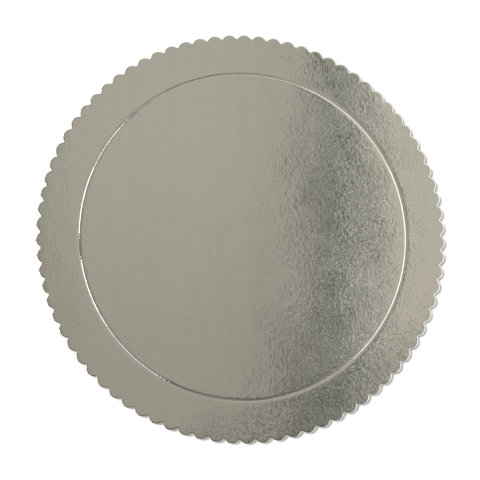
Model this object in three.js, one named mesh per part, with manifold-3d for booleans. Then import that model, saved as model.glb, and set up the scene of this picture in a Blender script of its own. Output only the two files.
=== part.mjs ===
// A round cake board: one die-cut disc of solid greyboard with metallised foil laminated on top.
// The disc lies flat on z = 0 with the foil face up, and its centre is on the z axis.
import * as THREE from "three";
import { mergeVertices } from "three/addons/utils/BufferGeometryUtils.js";
import Module from "manifold-3d";

// Driving dimensions, in millimetres
const boardDiameter = 260; // over the tips of the lobes
const boardThickness = 3;
const lobePitch = 9.96; // from tip to tip along the rim
const lobeDepth = 2.45; // from the tip circle in to the root of a valley
const valleyRadius = 0.8; // tightest bend of the cutting rule, at the root between two lobes
const edgeRollWidth = 1.2; // how far in from the cut the foil face starts to curve down
const edgeRollDrop = 0.4; // how far the cutting rule draws the foil face down at the cut
const borderWidth = 26; // from the tip circle in to the centre line of the pressed groove
const grooveDepth = 0.4;
const grooveCore = 0.6; // from the groove's centre line out to half its depth
const grooveReach = 4; // from the centre line out to where the card lies flat again

// How finely each curve is stepped
const lobeSteps = 6;
const valleySteps = 2;
const rollSteps = 3;
const grooveSteps = 10;
const grooveTurnSteps = 120;

// The rim's lobes are convex arcs, and a small concave arc joins each to the next without a kink.
// Both arcs' centres follow from the tip circle, the depth and the two lines of symmetry.
const tipRadius = boardDiameter / 2;
const lobeCount = Math.round((2 * Math.PI * tipRadius) / lobePitch);
const halfPitch = Math.PI / lobeCount;
const valleyCentre = tipRadius - lobeDepth + valleyRadius;
const lobeRadius =
  (tipRadius ** 2 +
    valleyCentre ** 2 -
    2 * tipRadius * valleyCentre * Math.cos(halfPitch) -
    valleyRadius ** 2) /
  (2 * (tipRadius + valleyRadius - valleyCentre * Math.cos(halfPitch)));
const lobeCentre = tipRadius - lobeRadius;
const lobeHalfAngle = Math.atan2(
  valleyCentre * Math.sin(halfPitch),
  valleyCentre * Math.cos(halfPitch) - lobeCentre,
);

// A point on a circle, from its centre, its radius and an angle
function onCircle(centre, radius, angle) {
  return new THREE.Vector2(Math.cos(angle), Math.sin(angle))
    .multiplyScalar(radius)
    .add(centre);
}

// The scalloped outline, moved inwards by an inset: lobe arcs shrink, valley arcs grow,
// and every ring of the rim has the same number of points, so rings join one to one.
function scallopOutline(inset) {
  const points = [];
  const zero = new THREE.Vector2();
  for (let lobe = 0; lobe < lobeCount; lobe++) {
    const axis = 2 * halfPitch * lobe;
    const lobeMiddle = onCircle(zero, lobeCentre, axis);
    const valleyMiddle = onCircle(zero, valleyCentre, axis + halfPitch);
    for (let step = 0; step < lobeSteps; step++) {
      const angle = axis + lobeHalfAngle * ((2 * step) / lobeSteps - 1);
      points.push(onCircle(lobeMiddle, lobeRadius - inset, angle));
    }
    const valleyTurn = 2 * (lobeHalfAngle - halfPitch);
    for (let step = 0; step < valleySteps; step++) {
      const angle =
        axis + lobeHalfAngle + Math.PI - (valleyTurn * step) / valleySteps;
      points.push(onCircle(valleyMiddle, valleyRadius + inset, angle));
    }
  }
  return points;
}

// A closed solid from a stack of rings, lowest first, with a fan over the first and the last
function stackRings(rings) {
  const perRing = rings[0].points.length;
  const positions = [];
  for (const { points, height } of rings)
    for (const point of points) positions.push(point.x, point.y, height);
  const below = positions.length / 3;
  const above = below + 1;
  positions.push(0, 0, rings[0].height);
  positions.push(0, 0, rings[rings.length - 1].height);
  const index = [];
  const topRing = (rings.length - 1) * perRing;
  for (let i = 0; i < perRing; i++) {
    const next = (i + 1) % perRing;
    index.push(below, next, i);
    index.push(above, topRing + i, topRing + next);
    for (let ring = 0; ring < rings.length - 1; ring++) {
      const low = ring * perRing;
      const high = low + perRing;
      index.push(low + i, low + next, high + next);
      index.push(low + i, high + next, high + i);
    }
  }
  return new THREE.BufferGeometry()
    .setAttribute("position", new THREE.Float32BufferAttribute(positions, 3))
    .setIndex(index);
}

// The die-cut disc: a square cut up to the shoulder, then a quarter ellipse up to the flat foil face
function scallopedDisc() {
  const rings = [{ points: scallopOutline(0), height: 0 }];
  for (let step = 0; step <= rollSteps; step++) {
    const angle = ((Math.PI / 2) * step) / rollSteps;
    rings.push({
      points: scallopOutline(edgeRollWidth * (1 - Math.cos(angle))),
      height: boardThickness - edgeRollDrop * (1 - Math.sin(angle)),
    });
  }
  return stackRings(rings);
}

// How far the pressing ring draws the foil face down at a distance from the groove's centre line:
// a narrow bell, with wide gentle tails where the card gives way beside the ring
function grooveDip(offset) {
  const bell = grooveDepth / (1 + (offset / grooveCore) ** 2);
  return bell * Math.cos(((Math.PI / 2) * offset) / grooveReach) ** 2;
}

// What the pressing ring pushes out of the foil face, closed off above the face. The steps
// across the groove are finest at its centre line, where the dip bends most.
function grooveRing() {
  const grooveRadius = tipRadius - borderWidth;
  const section = [];
  for (let step = 0; step <= grooveSteps; step++) {
    const across = (2 * step) / grooveSteps - 1;
    const offset = grooveReach * across * Math.abs(across);
    section.push(
      new THREE.Vector2(
        grooveRadius + offset,
        boardThickness - grooveDip(offset),
      ),
    );
  }
  const clearAbove = boardThickness + grooveDepth;
  section.push(new THREE.Vector2(grooveRadius + grooveReach, clearAbove));
  section.push(new THREE.Vector2(grooveRadius - grooveReach, clearAbove));
  section.push(section[0].clone());
  // A lathe turns about y, and the board's axis is z
  return new THREE.LatheGeometry(section, grooveTurnSteps).rotateX(Math.PI / 2);
}

const wasm = await Module();
wasm.setup();

function solidFrom(geometry) {
  const bare = geometry.clone();
  bare.deleteAttribute("normal");
  bare.deleteAttribute("uv");
  const merged = mergeVertices(bare);
  return new wasm.Manifold(
    new wasm.Mesh({
      numProp: 3,
      vertProperties: merged.attributes.position.array,
      triVerts: new Uint32Array(merged.index.array),
    }),
  );
}

function geometryFrom(solid) {
  const mesh = solid.getMesh();
  const geometry = new THREE.BufferGeometry()
    .setAttribute(
      "position",
      new THREE.Float32BufferAttribute(mesh.vertProperties, mesh.numProp),
    )
    .setIndex(new THREE.BufferAttribute(mesh.triVerts, 1));
  geometry.computeVertexNormals();
  return geometry;
}

const silverFoil = new THREE.MeshStandardMaterial({
  color: 0xb2ada2,
  roughness: 0.2,
  metalness: 1,
});

const board = new THREE.Mesh(
  geometryFrom(solidFrom(scallopedDisc()).subtract(solidFrom(grooveRing()))),
  silverFoil,
);
board.name = "cake_board";

const cakeBoard = new THREE.Group();
cakeBoard.add(board);

export default cakeBoard;
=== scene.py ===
"""A round cake board on a white table, seen from nearly straight above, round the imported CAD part."""

import math

import bpy
import numpy as np
from mathutils import Matrix, Vector


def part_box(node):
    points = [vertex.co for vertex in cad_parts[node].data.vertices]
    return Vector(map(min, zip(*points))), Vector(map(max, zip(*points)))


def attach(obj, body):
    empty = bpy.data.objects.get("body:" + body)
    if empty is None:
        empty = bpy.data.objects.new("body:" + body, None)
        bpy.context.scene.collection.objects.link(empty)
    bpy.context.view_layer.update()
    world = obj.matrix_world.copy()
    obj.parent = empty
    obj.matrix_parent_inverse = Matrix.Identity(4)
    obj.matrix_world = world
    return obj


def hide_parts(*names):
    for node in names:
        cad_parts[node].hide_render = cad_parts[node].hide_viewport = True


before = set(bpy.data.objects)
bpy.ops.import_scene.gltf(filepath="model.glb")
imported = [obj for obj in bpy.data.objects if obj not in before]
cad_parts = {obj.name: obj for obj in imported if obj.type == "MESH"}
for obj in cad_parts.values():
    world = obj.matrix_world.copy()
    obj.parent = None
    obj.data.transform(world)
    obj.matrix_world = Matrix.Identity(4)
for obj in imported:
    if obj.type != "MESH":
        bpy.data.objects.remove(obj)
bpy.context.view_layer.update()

# The camera stands nearly four board radii above the foil face, off centre towards the board's
# near left side, and looks just short of the middle. Both places are measured from the middle
# of the foil face.
board_low, board_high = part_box("cake_board")
tip_radius = (board_high.x - board_low.x) / 2
board_thickness = board_high.z - board_low.z
EYE = Vector((-0.5082, -0.5096, 3.9347)) * tip_radius
AIM = Vector((-0.0312, -0.0314, 0.0)) * tip_radius
UPWARDS = Vector((0.0455, 0.9990, 0.0))
LENS_MM = 61.82
FILM_MM = 36.0

camera = bpy.data.objects.new("view", bpy.data.cameras.new("view"))
bpy.context.scene.collection.objects.link(camera)
camera.data.lens = LENS_MM
camera.data.sensor_width = FILM_MM
backwards = (EYE - AIM).normalized()
rightwards = UPWARDS.cross(backwards).normalized()
camera.matrix_world = Matrix.LocRotScale(
    EYE + Vector((0.0, 0.0, board_thickness)),
    Matrix((rightwards, backwards.cross(rightwards), backwards)).transposed().to_quaternion(),
    None,
)
bpy.context.scene.camera = camera
bpy.context.scene.view_settings.view_transform = "Standard"


# The table is a wide sheet of matt white card. It reaches the camera as plain white, and
# only the board's own soft shadow shows on it.
def new_mesh(name, points, faces):
    """An object at the origin from an array of points and a list of faces."""
    mesh = bpy.data.meshes.new(name)
    mesh.from_pydata(points.tolist(), [], faces)
    mesh.update()
    made = bpy.data.objects.new(name, mesh)
    bpy.context.scene.collection.objects.link(made)
    return made


def new_material(name):
    """A node material, with its node tree and its Principled shader."""
    material = bpy.data.materials.new(name)
    material.use_nodes = True
    return material, material.node_tree, material.node_tree.nodes["Principled BSDF"]


def arithmetic(tree, operation, *values):
    """A Math node of one or two values, each a number or another node's output."""
    node = tree.nodes.new("ShaderNodeMath")
    node.operation = operation
    for socket, value in zip(node.inputs, values):
        if isinstance(value, (int, float)):
            socket.default_value = value
        else:
            tree.links.new(value, socket)
    return node.outputs[0]


def added(tree, first, second):
    """The sum of two values."""
    return arithmetic(tree, "ADD", first, second)


def multiplied(tree, first, second):
    """The product of two values."""
    return arithmetic(tree, "MULTIPLY", first, second)


def seen_itself(tree):
    """1 where the camera sees the surface, straight or in metal or glass, and 0 for the light that it
    gives matt things."""
    path = tree.nodes.new("ShaderNodeLightPath").outputs
    in_metal_or_glass = added(tree, path["Is Glossy Ray"], path["Is Transmission Ray"])
    return added(tree, path["Is Camera Ray"], in_metal_or_glass)


def level_square(reach, height):
    """The four corners of a level square about the z axis, counted anticlockwise from above."""
    return np.array([(x * reach, y * reach, height) for x, y in ((-1, -1), (1, -1), (1, 1), (-1, 1))])


TABLE_REACH = 6.0
TABLE_WHITE = 0.90
TABLE_GLOW = 0.04
PLAIN_WHITE = (1.0, 1.0, 1.0, 1.0)
FACING_UP = [(0, 1, 2, 3)]

table = new_mesh("table", level_square(TABLE_REACH, 0.0), FACING_UP)
table_white, tree, shader = new_material("table_white")
shader.inputs["Base Color"].default_value = (TABLE_WHITE, TABLE_WHITE, TABLE_WHITE, 1.0)
shader.inputs["Roughness"].default_value = 1.0
shader.inputs["Specular IOR Level"].default_value = 0.0
shader.inputs["Emission Color"].default_value = PLAIN_WHITE
tree.links.new(multiplied(tree, seen_itself(tree), TABLE_GLOW), shader.inputs["Emission Strength"])
table.data.materials.append(table_white)

# The room round the table is a plain pale tent. The camera and the foil see it at full white,
# and it lights matt things at about half of that.
TENT_LIGHT = 0.51

tent = bpy.data.worlds.new("tent")
tent.use_nodes = True
bpy.context.scene.world = tent
tree = tent.node_tree
cloth = tree.nodes["Background"]
cloth.inputs["Color"].default_value = PLAIN_WHITE
to_full_white = multiplied(tree, seen_itself(tree), 1.0 - TENT_LIGHT)
tree.links.new(added(tree, to_full_white, TENT_LIGHT), cloth.inputs["Strength"])


# A pale ceiling hangs over the table, and the foil mirrors it: even and soft on the left,
# brighter on the right, with a dim gap between the two and a dim end towards the near side.
def glowing_card(name, points, colour=(1.0, 1.0, 1.0), strength=1.0):
    """A flat stage card that only the foil's mirror shows: it lights nothing matt and casts no shadow."""
    card = new_mesh(name, points, FACING_DOWN)
    material = bpy.data.materials.new(name)
    material.use_nodes = True
    tree = material.node_tree
    tree.nodes.remove(tree.nodes["Principled BSDF"])
    emission = tree.nodes.new("ShaderNodeEmission")
    emission.inputs["Color"].default_value = (*colour, 1.0)
    emission.inputs["Strength"].default_value = strength
    tree.links.new(emission.outputs[0], tree.nodes["Material Output"].inputs["Surface"])
    card.data.materials.append(material)
    card.visible_camera = False
    card.visible_diffuse = False
    card.visible_shadow = False
    return tree, emission


def between(tree, value, span, levels=(0.0, 1.0)):
    """A smooth change from the first level to the second while a value crosses a span."""
    rise = tree.nodes.new("ShaderNodeMapRange")
    rise.interpolation_type = "SMOOTHSTEP"
    for socket, limit in zip(("From Min", "From Max", "To Min", "To Max"), (*span, *levels)):
        rise.inputs[socket].default_value = limit
    tree.links.new(value, rise.inputs["Value"])
    return rise.outputs["Result"]


def ramp_along(tree, direction, span, levels=(0.0, 1.0)):
    """A smooth change between two levels, by the distance along a direction, in metres."""
    coordinates = tree.nodes.new("ShaderNodeTexCoord")
    along = tree.nodes.new("ShaderNodeVectorMath")
    along.operation = "DOT_PRODUCT"
    along.inputs[1].default_value = direction
    tree.links.new(coordinates.outputs["Object"], along.inputs[0])
    return between(tree, along.outputs["Value"], span, levels)


def noise_at(tree, vector, scale, detail):
    """A noise texture's value, with its grain given in lumps to the metre."""
    noise = tree.nodes.new("ShaderNodeTexNoise")
    noise.inputs["Scale"].default_value = scale
    noise.inputs["Detail"].default_value = detail
    tree.links.new(vector, noise.inputs["Vector"])
    return noise.outputs["Fac"]


def two_colours(tree, mask, first, second):
    """A blend from the first colour, where a mask is 0, to the second, where it is 1. Each is a
    colour or another node's output."""
    mix = tree.nodes.new("ShaderNodeMix")
    mix.data_type = "RGBA"
    for socket, colour in ((mix.inputs["A"], first), (mix.inputs["B"], second)):
        if isinstance(colour, tuple):
            socket.default_value = (*colour, 1.0)
        else:
            tree.links.new(colour, socket)
    tree.links.new(mask, mix.inputs["Factor"])
    return mix.outputs["Result"]


CEILING_HEIGHT = 0.90
CEILING_REACH = 1.30
FACING_DOWN = [(3, 2, 1, 0)]

# Directions over the ceiling: the edges of the gap, of the right part and of the near end are
# a little askew
ACROSS = (1.0, 0.0, 0.0)
FARTHER = (0.0, 1.0, 0.0)
ACROSS_GAP = (1.0, -0.155, 0.0)
ACROSS_RIGHT = (1.0, -0.03, 0.0)
OFF_NEAR_END = (-0.37, 1.0, 0.0)
TO_FAR_CORNER = (0.707, 0.707, 0.0)

# Side by side lie the left part, which dims towards its wall, the gap and the right part. Each
# change takes a span, in metres, and goes between two levels, or two shares of a level.
LEFT_SPAN = (0.015, 0.195)
LEFT_LEVELS = (0.57, 0.51)
LEFT_WALL_SPAN = (-0.44, -0.12)
LEFT_WALL_SHARES = (0.54, 1.0)
GAP_SPAN = (0.178, 0.222)
GAP_LEVELS = (0.0, -0.18)
GAP_LENGTH_SPAN = (-0.16, 0.30)
GAP_LENGTH_SHARES = (0.58, 1.20)
RIGHT_SPAN = (0.268, 0.388)
RIGHT_LEVELS = (0.0, 0.37)

# The near side is dimmer in two steps, and paler again far out. The whole brightens with depth.
NEAR_END_SPAN = (-0.235, -0.21)
NEAR_END_SHARES = (0.82, 1.0)
NEAR_WALL_SPAN = (-0.36, -0.23)
NEAR_WALL_SHARES = (0.60, 1.0)
NEAR_FLOOR_SPAN = (-0.95, -0.70)
NEAR_FLOOR_SHARES = (0.36, 0.0)
DEPTH_SPAN = (-0.163, 0.326)
DEPTH_SHARES = (0.91, 1.11)

# Two glows lie far out, along the right side and in the far right corner
RIGHT_GLOW_SPAN = (0.52, 0.82)
RIGHT_GLOW_LEVELS = (0.0, 0.38)
FAR_CORNER_SPAN = (0.76, 0.94)
FAR_CORNER_LEVELS = (0.0, 0.30)

tree, emission = glowing_card("ceiling", level_square(CEILING_REACH, CEILING_HEIGHT))
left_part = ramp_along(tree, ACROSS_GAP, LEFT_SPAN, LEFT_LEVELS)
left_wall = ramp_along(tree, ACROSS, LEFT_WALL_SPAN, LEFT_WALL_SHARES)
left_side = multiplied(tree, left_part, left_wall)
gap_dip = ramp_along(tree, ACROSS_GAP, GAP_SPAN, GAP_LEVELS)
gap_length = ramp_along(tree, FARTHER, GAP_LENGTH_SPAN, GAP_LENGTH_SHARES)
gap_edge = multiplied(tree, gap_dip, gap_length)
right_part = ramp_along(tree, ACROSS_RIGHT, RIGHT_SPAN, RIGHT_LEVELS)
side_by_side = added(tree, left_side, added(tree, gap_edge, right_part))

# The gap and the near side are busy with upright things, dark and light by turns, which the
# pebbled foil breaks into flecks. Their level is the sine of the place across, which wanders
# a little, and the sine is cut off above and below to make their edges hard.
THING_SPACING = 0.056
THING_CONTRAST = 0.92
THING_EDGES = (-0.6, 0.6)
WANDER_SCALE = 9.0
WANDER_DETAIL = 1.0
INTO_GAP_SPAN = (0.175, 0.215)
OUT_OF_GAP_SPAN = (0.33, 0.40)
NEAR_THINGS_SPAN = (-0.27, -0.205)
NEAR_THINGS_LEVELS = (0.75, 0.0)
NEAR_THINGS_START = (0.01, 0.07)

into_gap = ramp_along(tree, ACROSS_GAP, INTO_GAP_SPAN)
out_of_gap = ramp_along(tree, ACROSS_RIGHT, OUT_OF_GAP_SPAN)
gap_share = arithmetic(tree, "SUBTRACT", into_gap, out_of_gap)
near_things = ramp_along(tree, OFF_NEAR_END, NEAR_THINGS_SPAN, NEAR_THINGS_LEVELS)
near_busy = multiplied(tree, near_things, ramp_along(tree, ACROSS, NEAR_THINGS_START))
all_busy = added(tree, multiplied(tree, gap_share, THING_CONTRAST), near_busy)
busy_share = arithmetic(tree, "MINIMUM", all_busy, THING_CONTRAST)
place = tree.nodes.new("ShaderNodeTexCoord").outputs["Object"]
place_axes = tree.nodes.new("ShaderNodeSeparateXYZ")
tree.links.new(place, place_axes.inputs[0])
wander = multiplied(tree, noise_at(tree, place, WANDER_SCALE, WANDER_DETAIL), THING_SPACING)
turn = multiplied(tree, added(tree, place_axes.outputs["X"], wander), 2 * math.pi / THING_SPACING)
swing = between(tree, arithmetic(tree, "SINE", turn), THING_EDGES, (-1.0, 1.0))
things = added(tree, multiplied(tree, swing, busy_share), 1.0)

near_end = ramp_along(tree, OFF_NEAR_END, NEAR_END_SPAN, NEAR_END_SHARES)
near_wall = ramp_along(tree, FARTHER, NEAR_WALL_SPAN, NEAR_WALL_SHARES)
near_floor = ramp_along(tree, FARTHER, NEAR_FLOOR_SPAN, NEAR_FLOOR_SHARES)
near_side = multiplied(tree, near_end, added(tree, near_wall, near_floor))
right_glow = ramp_along(tree, ACROSS, RIGHT_GLOW_SPAN, RIGHT_GLOW_LEVELS)
far_corner = ramp_along(tree, TO_FAR_CORNER, FAR_CORNER_SPAN, FAR_CORNER_LEVELS)
shaded = multiplied(tree, multiplied(tree, side_by_side, things), near_side)
lit = added(tree, shaded, added(tree, right_glow, far_corner))
depth = ramp_along(tree, FARTHER, DEPTH_SPAN, DEPTH_SHARES)
tree.links.new(multiplied(tree, lit, depth), emission.inputs["Strength"])

# The ceiling is warm white on the near side, greener on the far side, cooler in the gap, and as
# white as the lamps on the far right
CEILING_WARM = (1.0, 0.985, 0.955)
CEILING_FAR = (0.975, 0.995, 0.96)
CEILING_FAR_SPAN = (-0.05, 0.25)
GAP_COOL = (0.952, 0.985, 0.97)
LAMP_WHITE = (0.98, 1.0, 1.04)
LAMP_WHITE_SPAN = (0.45, 0.62)

by_depth = two_colours(tree, ramp_along(tree, FARTHER, CEILING_FAR_SPAN), CEILING_WARM, CEILING_FAR)
cooled = two_colours(tree, gap_share, by_depth, GAP_COOL)
whitened = two_colours(tree, ramp_along(tree, ACROSS, LAMP_WHITE_SPAN), cooled, LAMP_WHITE)
tree.links.new(whitened, emission.inputs["Color"])


# Soft lamps stand low round the board, on the left, the near side and the right, and two dim
# screens stand lower still, on the left and the far side. The flat foil does not mirror them.
# Only the groove and the turned-down rim are steep enough, and show bright lines.
def soft_lamp(name, azimuth, zenith, distance, width, height, strength):
    """A lamp card that faces the board, placed by its compass angle and its angle from straight up."""
    azimuth, zenith = math.radians(azimuth), math.radians(zenith)
    outwards = Vector((math.cos(azimuth), math.sin(azimuth), 0.0))
    centre = distance * (outwards * math.sin(zenith) + Vector((0.0, 0.0, math.cos(zenith))))
    sideways = Vector((-outwards.y, outwards.x, 0.0)) * width / 2
    downwards = (outwards * math.cos(zenith) - Vector((0.0, 0.0, math.sin(zenith)))) * height / 2
    corners = [
        centre - sideways - downwards,
        centre + sideways - downwards,
        centre + sideways + downwards,
        centre - sideways + downwards,
    ]
    glowing_card(name, np.array([tuple(corner) for corner in corners]), LAMP_WHITE, strength)


# The two angles are in degrees, and the distance from the board, the width and the height in metres
SOFT_LAMPS = {
    "left_lamp": dict(azimuth=157, zenith=55, distance=1.0, width=0.38, height=0.26, strength=3.4),
    "near_left_lamp": dict(azimuth=194, zenith=54, distance=1.0, width=0.40, height=0.32, strength=3.6),
    "near_lamp": dict(azimuth=221, zenith=54, distance=1.0, width=0.54, height=0.34, strength=2.0),
    "far_left_lamp": dict(azimuth=137, zenith=57, distance=1.05, width=0.36, height=0.24, strength=2.0),
    "right_low_lamp": dict(azimuth=-14, zenith=72, distance=1.5, width=2.4, height=0.80, strength=2.4),
    "near_right_lamp": dict(azimuth=-20, zenith=55, distance=1.2, width=0.7, height=0.16, strength=1.9),
    "left_screen": dict(azimuth=180, zenith=74, distance=1.6, width=3.0, height=0.70, strength=0.60),
    "far_screen": dict(azimuth=95, zenith=70, distance=1.6, width=1.9, height=0.60, strength=0.38),
}
for name, placing in SOFT_LAMPS.items():
    soft_lamp(name, **placing)

# One more lamp, high on the far left, gives the board its narrow soft shadow on the right.
# It lights only what is matt, because the foil would show it as a spot.
SHADOW_LAMP_FROM = Vector((-0.58, 0.30, 0.76))
SHADOW_LAMP_STRENGTH = 2.6
SHADOW_LAMP_SPREAD = math.radians(16.0)

shadow_lamp = bpy.data.objects.new("shadow_lamp", bpy.data.lights.new("shadow_lamp", "SUN"))
bpy.context.scene.collection.objects.link(shadow_lamp)
shadow_lamp.data.energy = SHADOW_LAMP_STRENGTH
shadow_lamp.data.angle = SHADOW_LAMP_SPREAD
shadow_lamp.rotation_euler = SHADOW_LAMP_FROM.to_track_quat("Z", "Y").to_euler()
shadow_lamp.visible_glossy = False


# The cake board is one die-cut disc of grey board, laminated with silver film before cutting.
# The cutting rule draws the film down over the scalloped rim, and a blunt ring rule presses
# the groove that marks the cake's place. The sizes are those of the CAD part, in metres.
LOBE_PITCH = 0.00996
LOBE_DEPTH = 0.00245  # from the tip circle in to the root of a valley
VALLEY_RADIUS = 0.0008
EDGE_ROLL_WIDTH = 0.0012  # how far in from the cut the film starts to curve down
EDGE_ROLL_DROP = 0.0004
BORDER_WIDTH = 0.026  # from the tip circle in to the groove's centre line
GROOVE_DEPTH = 0.0004
GROOVE_CORE = 0.0006  # from the centre line out to half the depth
GROOVE_REACH = 0.004  # from the centre line out to where the card lies flat again
FOOT_ROUND = 0.00012  # of the bottom edge, too small for the CAD part

# How finely the skin is stepped round the rim and from ring to ring
LOBE_STEPS = 10
VALLEY_STEPS = 3
UNDERSIDE_SHARES = (0.02, 0.3, 0.6, 0.85, 0.97, 0.995)  # of the outermost ring, from the middle out
WALL_STEPS = 4
ROLL_STEPS = 10
BORDER_STEPS = 6
GROOVE_STEPS = 24
MIDDLE_STEPS = 13
MIDDLE_RADIUS = 0.002  # of the last ring before the pole

lobe_count = round(2 * math.pi * tip_radius / LOBE_PITCH)
half_pitch = math.pi / lobe_count
valley_centre = tip_radius - LOBE_DEPTH + VALLEY_RADIUS
lobe_radius = (
    tip_radius**2
    + valley_centre**2
    - 2 * tip_radius * valley_centre * math.cos(half_pitch)
    - VALLEY_RADIUS**2
) / (2 * (tip_radius + VALLEY_RADIUS - valley_centre * math.cos(half_pitch)))
lobe_centre = tip_radius - lobe_radius
lobe_half_angle = math.atan2(
    valley_centre * math.sin(half_pitch),
    valley_centre * math.cos(half_pitch) - lobe_centre,
)


def scallop(inset):
    """The rim moved inwards: arcs about the lobes' centres, joined by arcs about the valleys' centres."""
    lobe_turn = lobe_half_angle * np.linspace(-1, 1, LOBE_STEPS, endpoint=False)
    valley_turn = (
        lobe_half_angle + math.pi
        - 2 * (lobe_half_angle - half_pitch) * np.linspace(0, 1, VALLEY_STEPS, endpoint=False)
    )
    lobe = lobe_centre + (lobe_radius - inset) * np.exp(1j * lobe_turn)
    valley = valley_centre * np.exp(1j * half_pitch) + (VALLEY_RADIUS + inset) * np.exp(1j * valley_turn)
    one_pitch = np.concatenate([lobe, valley])
    turns = np.exp(2j * half_pitch * np.arange(lobe_count))
    around = (turns[:, None] * one_pitch[None, :]).ravel()
    return np.stack([around.real, around.imag], axis=1)


def groove_dip(offset):
    """Depth at a distance from the groove's centre line: a bell, 1 / (1 + (x / core)^2), that a
    cosine squared brings to nothing at the reach."""
    bell = GROOVE_DEPTH / (1 + (offset / GROOVE_CORE) ** 2)
    return bell * np.cos(np.pi / 2 * offset / GROOVE_REACH) ** 2


def board_rings():
    """The rings of the board's skin, from the middle of the underside out, up the cut edge and back
    in: the scallop at a share of its size or at an inset, then circles from the groove inwards."""
    foot = scallop(FOOT_ROUND)
    underside = [(foot * share, 0.0) for share in UNDERSIDE_SHARES]
    underside.append((foot, 0.0))
    rim = scallop(0.0)
    roll_foot = board_thickness - EDGE_ROLL_DROP
    wall = [(rim, height) for height in np.linspace(FOOT_ROUND, roll_foot, WALL_STEPS + 1)]
    roll = [
        (
            scallop(EDGE_ROLL_WIDTH * (1 - math.cos(turn))),
            board_thickness - EDGE_ROLL_DROP * (1 - math.sin(turn)),
        )
        for turn in np.linspace(0, math.pi / 2, ROLL_STEPS + 1)[1:]
    ]
    flat_rim = scallop(EDGE_ROLL_WIDTH)
    outwards = flat_rim / np.linalg.norm(flat_rim, axis=1)[:, None]
    groove_radius = tip_radius - BORDER_WIDTH
    groove_outside = groove_radius + GROOVE_REACH
    border = [
        (flat_rim * (1 - share) + outwards * groove_outside * share, board_thickness)
        for share in np.linspace(0, 1, BORDER_STEPS + 1)[1:-1]
    ]
    across = np.linspace(1, -1, GROOVE_STEPS + 1)
    groove = [
        (outwards * (groove_radius + offset), board_thickness - groove_dip(offset))
        for offset in GROOVE_REACH * across * np.abs(across)
    ]
    groove_inside = groove_radius - GROOVE_REACH
    middle = [
        (outwards * radius, board_thickness)
        for radius in np.linspace(groove_inside, MIDDLE_RADIUS, MIDDLE_STEPS + 1)[1:]
    ]
    return underside, wall, roll + border + groove + middle


def stacked_skin(rings):
    """Points and faces of a closed skin: rings joined one to one, and a fan at each pole. The fan
    of the underside follows the faces between the rings, and the fan of the top comes last."""
    per_ring = len(rings[0][0])
    points = [np.column_stack([ring, np.full(per_ring, height)]) for ring, height in rings]
    points.append(np.array([(0, 0, rings[0][1]), (0, 0, rings[-1][1])]))
    points = np.concatenate(points)
    low_pole, high_pole = len(points) - 2, len(points) - 1
    here = np.arange(per_ring)
    onward = (here + 1) % per_ring
    start = per_ring * np.arange(len(rings) - 1)[:, None]
    walls = np.stack(
        [start + here, start + onward, start + per_ring + onward, start + per_ring + here], axis=2
    ).reshape(-1, 4)
    last = per_ring * (len(rings) - 1)
    below = np.column_stack([np.full(per_ring, low_pole), onward, here])
    above = np.column_stack([np.full(per_ring, high_pole), last + here, last + onward])
    return points, walls.tolist() + below.tolist() + above.tolist()


underside, wall, foil_face = board_rings()
points, faces = stacked_skin(underside + wall + foil_face)
board = new_mesh("board", points, faces)
board.data.polygons.foreach_set("use_smooth", [True] * len(faces))


# The silver film lies on card fibres, so its mirror is slightly pebbled: flecks of one or two
# millimetres, a little longer along the card's run and stronger in some patches, and gentle
# waves ten times as long, because the card under it is never quite flat.
def stretched(tree, vector, stretch):
    """Coordinates multiplied by a number along each axis, so that a pattern's grain is longer one way."""
    node = tree.nodes.new("ShaderNodeVectorMath")
    node.operation = "MULTIPLY"
    node.inputs[1].default_value = stretch
    tree.links.new(vector, node.inputs[0])
    return node.outputs[0]


def raised_by(tree, shader, height):
    """A Bump node that leans the shader's normal by a height in metres."""
    bump = tree.nodes.new("ShaderNodeBump")
    bump.inputs["Strength"].default_value = 1.0
    bump.inputs["Distance"].default_value = 1.0
    tree.links.new(height, bump.inputs["Height"])
    tree.links.new(bump.outputs["Normal"], shader.inputs["Normal"])


FILM_COLOUR = (0.62, 0.588, 0.503)
FILM_ROUGHNESS = 0.045
ALONG_THE_RUN = (1.15, 0.80, 1.0)
PEBBLE_SCALE = 500.0
PEBBLE_DETAIL = 2.0
PEBBLE_HEIGHT = 0.000088
PATCH_SCALE = 75.0
PATCH_DETAIL = 1.0
PATCH_SPAN = (0.35, 0.65)
PATCH_SHARES = (0.70, 1.20)
WAVE_SCALE = 60.0
WAVE_DETAIL = 0.0
WAVE_HEIGHT = 0.00012

# The rollers that lay the film leave faint darker streaks along the run
STREAK_COLOUR = (0.605, 0.575, 0.494)
STREAK_STRETCH = (1.0, 0.06, 1.0)
STREAK_SCALE = 160.0
STREAK_DETAIL = 2.0
STREAK_SPAN = (0.35, 0.65)

foil, tree, shader = new_material("silver_film")
shader.inputs["Metallic"].default_value = 1.0
shader.inputs["Roughness"].default_value = FILM_ROUGHNESS
place = tree.nodes.new("ShaderNodeTexCoord").outputs["Object"]
pebble = noise_at(tree, stretched(tree, place, ALONG_THE_RUN), PEBBLE_SCALE, PEBBLE_DETAIL)
patch = between(tree, noise_at(tree, place, PATCH_SCALE, PATCH_DETAIL), PATCH_SPAN, PATCH_SHARES)
lumps = multiplied(tree, multiplied(tree, pebble, patch), PEBBLE_HEIGHT)
waves = multiplied(tree, noise_at(tree, place, WAVE_SCALE, WAVE_DETAIL), WAVE_HEIGHT)
raised_by(tree, shader, added(tree, lumps, waves))
streaks = noise_at(tree, stretched(tree, place, STREAK_STRETCH), STREAK_SCALE, STREAK_DETAIL)
film = two_colours(tree, between(tree, streaks, STREAK_SPAN), FILM_COLOUR, STREAK_COLOUR)
tree.links.new(film, shader.inputs["Base Color"])


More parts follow.
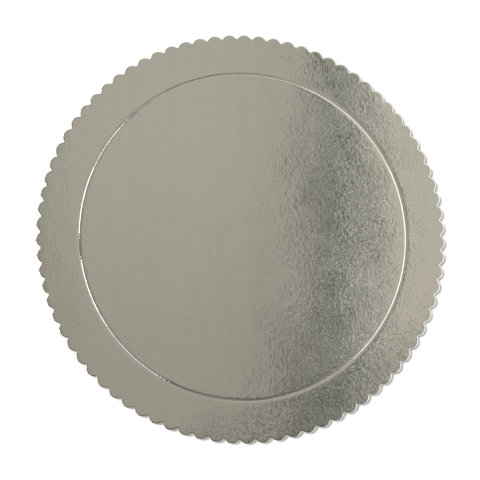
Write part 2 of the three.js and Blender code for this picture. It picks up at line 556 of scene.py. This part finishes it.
# The cut wall shows the grey card: pulp pressed in plies, with fibres lying along them. The
# underside is lined with plain pale paper, and both show the same pulp.
PULP_DETAIL = 4.0
PULP_ROUGHNESS = 0.6
PULP_SPAN = (0.38, 0.66)


def pulp_group():
    """A node group for paper pulp: a mask of fibre flecks, and their height in metres, from coordinates,
    the flecks to the metre and how high they stand."""
    group = bpy.data.node_groups.new("paper_pulp", "ShaderNodeTree")
    group.interface.new_socket("Place", in_out="INPUT", socket_type="NodeSocketVector")
    group.interface.new_socket("Flecks", in_out="INPUT", socket_type="NodeSocketFloat")
    group.interface.new_socket("Standing", in_out="INPUT", socket_type="NodeSocketFloat")
    group.interface.new_socket("Mask", in_out="OUTPUT", socket_type="NodeSocketFloat")
    group.interface.new_socket("Height", in_out="OUTPUT", socket_type="NodeSocketFloat")
    given = group.nodes.new("NodeGroupInput")
    made = group.nodes.new("NodeGroupOutput")
    noise = group.nodes.new("ShaderNodeTexNoise")
    noise.inputs["Detail"].default_value = PULP_DETAIL
    noise.inputs["Roughness"].default_value = PULP_ROUGHNESS
    group.links.new(given.outputs["Place"], noise.inputs["Vector"])
    group.links.new(given.outputs["Flecks"], noise.inputs["Scale"])
    group.links.new(between(group, noise.outputs["Fac"], PULP_SPAN), made.inputs["Mask"])
    height = multiplied(group, noise.outputs["Fac"], given.outputs["Standing"])
    group.links.new(height, made.inputs["Height"])
    return group


paper_pulp = pulp_group()


def pulp_in(tree, place, flecks, standing):
    """The pulp group placed in a material, with its own grain and height."""
    node = tree.nodes.new("ShaderNodeGroup")
    node.node_tree = paper_pulp
    tree.links.new(place, node.inputs["Place"])
    node.inputs["Flecks"].default_value = flecks
    node.inputs["Standing"].default_value = standing
    return node.outputs["Mask"], node.outputs["Height"]


CARD_GREY = (0.42, 0.40, 0.37)
CARD_PALE = (0.53, 0.51, 0.475)
CARD_ROUGHNESS = 0.9
CARD_SPECULAR = 0.2
CARD_FLECKS = 900.0
CARD_STANDING = 0.00012
ALONG_THE_PLIES = (1.0, 1.0, 4.0)
PLY_COUNT = 5
PLY_WANDER = 0.0005
PLY_WANDER_SCALE = 150.0
PLY_WANDER_DETAIL = 2.0
PLY_SEAM_SPAN = (0.55, 1.0)
PLY_SEAM_HEIGHT = -0.00005

card, tree, shader = new_material("grey_card")
shader.inputs["Roughness"].default_value = CARD_ROUGHNESS
shader.inputs["Specular IOR Level"].default_value = CARD_SPECULAR
place = tree.nodes.new("ShaderNodeTexCoord").outputs["Object"]
place_axes = tree.nodes.new("ShaderNodeSeparateXYZ")
tree.links.new(place, place_axes.inputs[0])
mask, height = pulp_in(tree, stretched(tree, place, ALONG_THE_PLIES), CARD_FLECKS, CARD_STANDING)
wander = multiplied(tree, noise_at(tree, place, PLY_WANDER_SCALE, PLY_WANDER_DETAIL), PLY_WANDER)
plies_up = added(tree, place_axes.outputs["Z"], wander)
ply_turn = multiplied(tree, plies_up, 2 * math.pi * PLY_COUNT / board_thickness)
seam = between(tree, arithmetic(tree, "COSINE", ply_turn), PLY_SEAM_SPAN)
pale = multiplied(tree, mask, arithmetic(tree, "SUBTRACT", 1.0, seam))
tree.links.new(two_colours(tree, pale, CARD_GREY, CARD_PALE), shader.inputs["Base Color"])
raised_by(tree, shader, added(tree, height, multiplied(tree, seam, PLY_SEAM_HEIGHT)))

LINING_PALE = (0.72, 0.71, 0.675)
LINING_FLECK = (0.63, 0.615, 0.575)
LINING_ROUGHNESS = 0.8
LINING_SPECULAR = 0.3
LINING_FLECKS = 650.0
LINING_STANDING = 0.00005

lining, tree, shader = new_material("lining_paper")
shader.inputs["Roughness"].default_value = LINING_ROUGHNESS
shader.inputs["Specular IOR Level"].default_value = LINING_SPECULAR
place = tree.nodes.new("ShaderNodeTexCoord").outputs["Object"]
mask, height = pulp_in(tree, stretched(tree, place, ALONG_THE_RUN), LINING_FLECKS, LINING_STANDING)
tree.links.new(two_colours(tree, mask, LINING_FLECK, LINING_PALE), shader.inputs["Base Color"])
raised_by(tree, shader, height)

# Faces go to their materials by ring: the lining up to the underside's last ring, the grey card
# up to the wall's last ring, and then the film. The two fans at the poles come at the end.
for material in (foil, card, lining):
    board.data.materials.append(material)
FILM_SLOT, CARD_SLOT, LINING_SLOT = range(3)
per_ring = len(underside[0][0])
underside_faces = (len(underside) - 1) * per_ring
card_faces = underside_faces + len(wall) * per_ring
skin = np.full(len(faces), FILM_SLOT, dtype=np.int32)
skin[:underside_faces] = LINING_SLOT
skin[underside_faces:card_faces] = CARD_SLOT
skin[-2 * per_ring : -per_ring] = LINING_SLOT
board.data.polygons.foreach_set("material_index", skin)

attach(board, "root")
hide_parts("cake_board")
